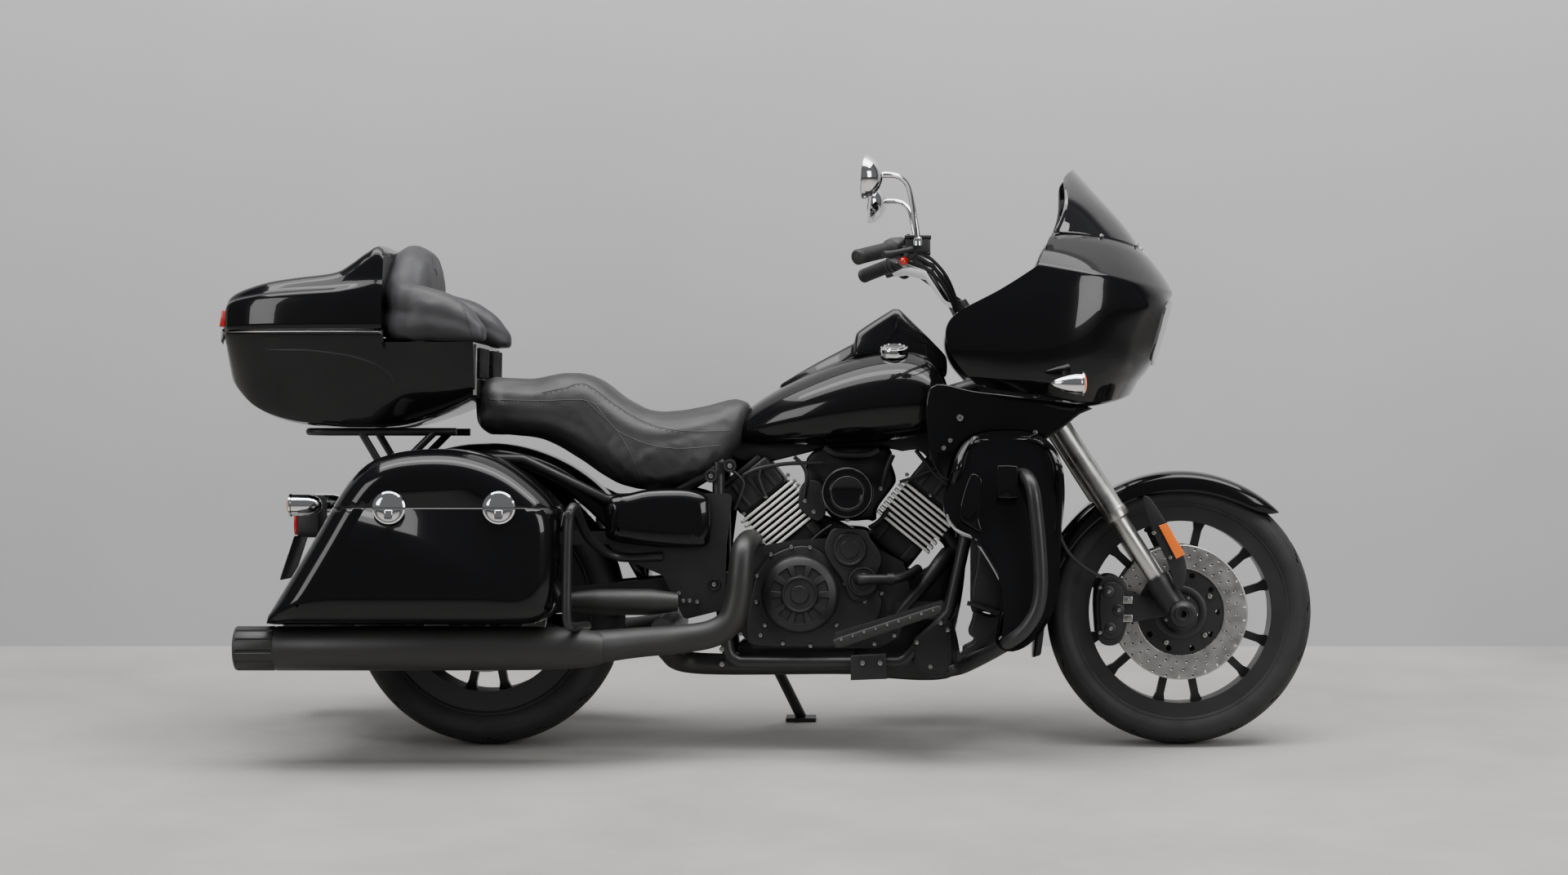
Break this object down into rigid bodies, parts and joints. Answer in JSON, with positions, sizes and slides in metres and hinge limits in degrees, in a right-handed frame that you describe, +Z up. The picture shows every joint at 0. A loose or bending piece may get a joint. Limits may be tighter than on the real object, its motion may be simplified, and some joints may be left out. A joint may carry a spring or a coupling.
{
  "type": "touring motorcycle",
  "caption": "Full-dress V-twin touring motorcycle with frame-mounted fairing, saddlebags with lids, top case and backrest, leaning on its side stand.",
  "frame": {"origin": "on the road under the middle of the machine's box", "axes": "+X forward along the wheels' line, +Y to the rider's left, +Z up; the machine leans 6.5 degrees left onto its side stand"},
  "size_m": [2.5819, 1.0126, 1.4286],
  "materials": {
    "paint": "deep gloss black",
    "black_metal": "satin black",
    "black_plastic": "matte black",
    "tyre_rubber": "matte",
    "soft_rubber": "matte",
    "disc_steel": "ground",
    "bright_metal": "brushed",
    "chrome": "mirror bright",
    "dark_steel": "heat-proof satin black",
    "finned_alloy": "dark with bright fin edges",
    "lamp_lens": "clear",
    "tinted_screen": "dark tint",
    "seat_leather": "fine grain"
  },
  "bodies": {
    "frame": {"fairing": "paint", "headlamp": "lamp_lens", "instrument_panel": "black_plastic", "windscreen": "tinted_screen", "front_turn_signals": "chrome", "fuel_tank": "paint", "tank_console": "paint", "seat": "seat_leather", "frame_tubes": "black_metal", "frame_side_plates": "black_metal", "side_covers": "paint", "swingarm": "black_metal", "rear_fender": "paint", "engine_case": "black_metal", "engine_covers": "chrome", "cylinders": "finned_alloy", "radiator": "black_plastic", "exhaust_pipes": "dark_steel", "mufflers": "chrome", "saddlebags": "paint", "top_case_base": "paint", "luggage_rack": "black_metal", "tail_lamp": "black_plastic", "lower_fairings": "paint", "engine_guards": "black_metal", "floorboards": "black_metal"},
    "steering": {"fork_lowers": "black_metal", "fork_tubes": "bright_metal", "fork_clamps": "black_metal", "front_calipers": "black_metal", "front_fender": "paint", "brake_hoses": "soft_rubber", "handlebar": "bright_metal", "hand_controls": "black_plastic", "mirrors": "chrome"},
    "front_wheel": {"front_tyre": "tyre_rubber", "front_wheel_rim": "black_metal", "front_brake_discs": "disc_steel"},
    "rear_wheel": {"rear_tyre": "tyre_rubber", "rear_wheel_rim": "black_metal", "rear_brake_disc": "disc_steel"},
    "side_stand": {"side_stand": "black_metal"},
    "top_case_lid": {"top_case_lid": "paint", "backrest_pad": "seat_leather"},
    "saddlebag_lid_right": {"saddlebag_lid_right": "paint"},
    "saddlebag_lid_left": {"saddlebag_lid_left": "paint"}
  },
  "joints": [
    {"name": "steering_head", "type": "hinge", "parent": "frame", "child": "steering", "pos_m": [0.93296, -0.08495, 0.29319], "axis": [-0.5402, 0.0953, 0.8361], "range_deg": [-35, 35]},
    {"name": "front_wheel_spin", "type": "hinge", "parent": "steering", "child": "front_wheel", "pos_m": [0.97167, -0.08214, 0.31788], "axis": [0, 0.9936, -0.1132], "continuous": true},
    {"name": "rear_wheel_spin", "type": "hinge", "parent": "frame", "child": "rear_wheel", "pos_m": [-0.69333, -0.0812, 0.32612], "axis": [0, 0.9936, -0.1132], "continuous": true},
    {"name": "side_stand_fold", "type": "hinge", "parent": "frame", "child": "side_stand", "pos_m": [-0.01733, 0.08406, 0.1688], "axis": [0.1665, 0.8301, 0.5322], "range_deg": [0, 98]},
    {"name": "top_case_lid_hinge", "type": "hinge", "parent": "frame", "child": "top_case_lid", "pos_m": [-0.64533, -0.00893, 0.96042], "axis": [0, 0.9936, -0.1132], "range_deg": [0, 60]},
    {"name": "saddlebag_lid_right_hinge", "type": "hinge", "parent": "frame", "child": "saddlebag_lid_right", "pos_m": [-0.69333, -0.48628, 0.62228], "axis": [1, 0, 0], "range_deg": [0, 75]},
    {"name": "saddlebag_lid_left_hinge", "type": "hinge", "parent": "frame", "child": "saddlebag_lid_left", "pos_m": [-0.69333, 0.38012, 0.52357], "axis": [-1, 0, 0], "range_deg": [0, 75]}
  ]
}
